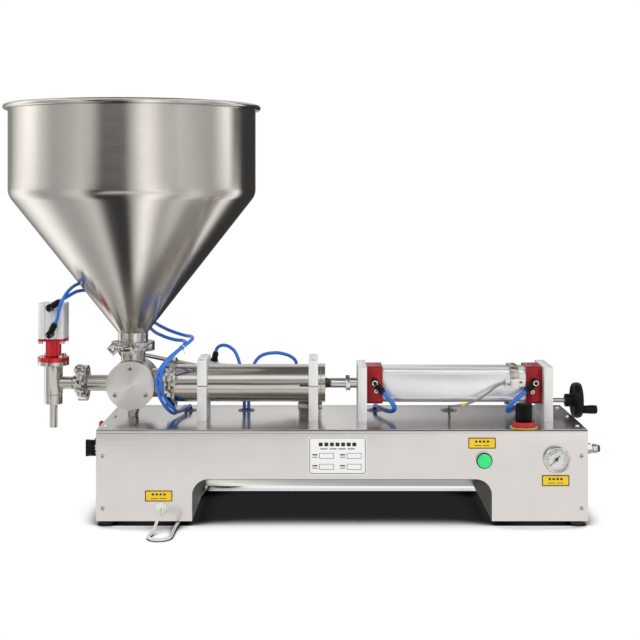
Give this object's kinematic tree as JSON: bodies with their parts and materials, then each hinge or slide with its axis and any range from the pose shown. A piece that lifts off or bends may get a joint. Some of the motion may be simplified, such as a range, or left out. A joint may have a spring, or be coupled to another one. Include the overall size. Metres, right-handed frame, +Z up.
{
  "type": "piston filling machine",
  "caption": "Table-top pneumatic piston filler for pastes: hopper on a rotary valve, barrel, air cylinder, shut-off nozzle and sheet steel case.",
  "frame": {"origin": "on the floor, under the middle of the machine's outline from the hopper's rim to the handwheel's grip", "axes": "+X from the nozzle to the handwheel, +Y from the front to the back, +Z up"},
  "size_m": [1.0367, 0.4874, 0.7004],
  "materials": {
    "sheet_steel": "brushed, bright stainless sheet",
    "bright_steel": "polished stainless",
    "turned_steel": "turned stainless",
    "cast_steel": "blasted and polished stainless castings",
    "light_alloy": "clear anodised, satin",
    "red_alloy": "red anodised, satin",
    "dark_liner": "dark, matt",
    "chrome": "bright plated",
    "white_plate": "white film",
    "yellow_plate": "yellow film",
    "black_rubber": "matt",
    "black_plastic": "moulded, semi-gloss",
    "white_plastic": "moulded",
    "red_plastic": "moulded, glossy",
    "green_plastic": "moulded, slightly clear",
    "cable_sheath": "pale sheath",
    "hose_blue": "blue hose",
    "seal_white": "food grade",
    "clear_lens": "clear"
  },
  "bodies": {
    "machine": {"case_shell": "sheet_steel", "side_panels": "sheet_steel", "belly_pan": "dark_liner", "feet": "black_rubber", "name_plate": "white_plate", "function_plates": "yellow_plate", "hose_grommets": "black_rubber", "cable_gland": "white_plastic", "foot_cable": "cable_sheath", "foot_cable_coil": "cable_sheath", "foot_cable_plug": "black_plastic", "air_inlet": "chrome", "gauge_body": "chrome", "gauge_dial": "white_plate", "gauge_lens": "clear_lens", "switch_collars": "chrome", "regulator_collar": "red_plastic", "barrel": "bright_steel", "barrel_saddles": "light_alloy", "saddle_caps": "light_alloy", "screws": "chrome", "valve_body": "turned_steel", "valve_cover": "turned_steel", "support_posts": "light_alloy", "actuator_barrel": "light_alloy", "hopper": "bright_steel", "hopper_wall": "bright_steel", "pipe_clamps": "cast_steel", "clamp_gaskets": "seal_white", "nozzle_body": "bright_steel", "nozzle_tip": "bright_steel", "nozzle_yoke": "red_alloy", "nozzle_cylinder": "light_alloy", "push_in_fittings": "black_plastic", "air_hoses": "hose_blue", "air_tube": "light_alloy", "air_caps": "red_alloy", "air_plates": "light_alloy", "sensor_lead": "cable_sheath"},
    "piston": {"piston_head": "turned_steel", "piston_seals": "seal_white", "piston_rod": "chrome", "air_rod": "chrome"},
    "valve": {"valve_rotor": "turned_steel", "valve_lever": "turned_steel"},
    "drive_rod": {"actuator_rod": "chrome"},
    "stem": {"nozzle_stem": "chrome"},
    "adjuster": {"handwheel": "black_plastic", "lead_screw": "turned_steel"},
    "grip": {"handwheel_grip": "black_plastic"},
    "sensor": {"sensor_carriage": "turned_steel", "sensor": "white_plastic"},
    "button": {"start_button": "green_plastic"},
    "needle": {"gauge_needle": "black_plastic"},
    "regulator": {"regulator_knob": "black_plastic"},
    "selector": {"selector_knob": "black_plastic"},
    "shutoff": {"shutoff_lever": "red_plastic"},
    "hopper_nut": {"hopper_clamp_nut": "cast_steel"},
    "barrel_nut": {"barrel_clamp_nut": "cast_steel"},
    "outlet_nut": {"outlet_clamp_nut": "cast_steel"}
  },
  "joints": [
    {"name": "piston_stroke", "type": "slide", "parent": "machine", "child": "piston", "axis": [-1, 0, 0], "range_m": [0, 0.2]},
    {"name": "valve_turn", "type": "hinge", "parent": "machine", "child": "valve", "pos_m": [-0.29613, 0.092, 0.217], "axis": [0, 1, 0], "range_deg": [0, 90]},
    {"name": "drive_stroke", "type": "slide", "parent": "machine", "child": "drive_rod", "axis": [0.9799, 0, -0.1994], "range_m": [0, 0.0762]},
    {"name": "stem_lift", "type": "slide", "parent": "machine", "child": "stem", "axis": [0, 0, 1], "range_m": [0, 0.016]},
    {"name": "handwheel_turn", "type": "hinge", "parent": "machine", "child": "adjuster", "pos_m": [0.44588, 0.043, 0.18], "axis": [1, 0, 0], "range_deg": [0, 5400]},
    {"name": "grip_spin", "type": "hinge", "parent": "adjuster", "child": "grip", "pos_m": [0.49588, 0.0259, 0.16615], "axis": [1, 0, 0], "continuous": true},
    {"name": "sensor_slide", "type": "slide", "parent": "machine", "child": "sensor", "axis": [-1, 0, 0], "range_m": [0, 0.1501], "deforming": ["sensor_lead"]},
    {"name": "button_press", "type": "slide", "parent": "machine", "child": "button", "axis": [0, 1, 0], "range_m": [0, 0.004], "stiffness_N_per_m": 400, "springref_m": -0.002},
    {"name": "needle_turn", "type": "hinge", "parent": "machine", "child": "needle", "pos_m": [0.41887, -0.132, 0.11], "axis": [0, 1, 0], "range_deg": [0, 270]},
    {"name": "regulator_turn", "type": "hinge", "parent": "machine", "child": "regulator", "pos_m": [0.36917, -0.105, 0.17], "axis": [0, 0, 1], "range_deg": [-540, 540]},
    {"name": "selector_turn", "type": "hinge", "parent": "machine", "child": "selector", "pos_m": [-0.35413, -0.06, 0.115], "axis": [1, 0, 0], "range_deg": [0, 90]},
    {"name": "shutoff_tilt", "type": "hinge", "parent": "machine", "child": "shutoff", "pos_m": [-0.35813, 0, 0.114], "axis": [0, -1, 0], "range_deg": [0, 60]},
    {"name": "hopper_nut_turn", "type": "hinge", "parent": "machine", "child": "hopper_nut", "pos_m": [-0.31612, -0.0455, 0.282], "axis": [1, 0, 0], "continuous": true},
    {"name": "barrel_nut_turn", "type": "hinge", "parent": "machine", "child": "barrel_nut", "pos_m": [-0.22812, -0.05225, 0.237], "axis": [0, 0, 1], "continuous": true},
    {"name": "outlet_nut_turn", "type": "hinge", "parent": "machine", "child": "outlet_nut", "pos_m": [-0.38212, -0.03875, 0.237], "axis": [0, 0, 1], "continuous": true}
  ],
  "couplings": [
    {"joint": "drive_stroke", "follows": "valve_turn", "m_per_rad": 0.048383},
    {"joint": "sensor_slide", "follows": "handwheel_turn", "m_per_rad": 0.0015915}
  ]
}
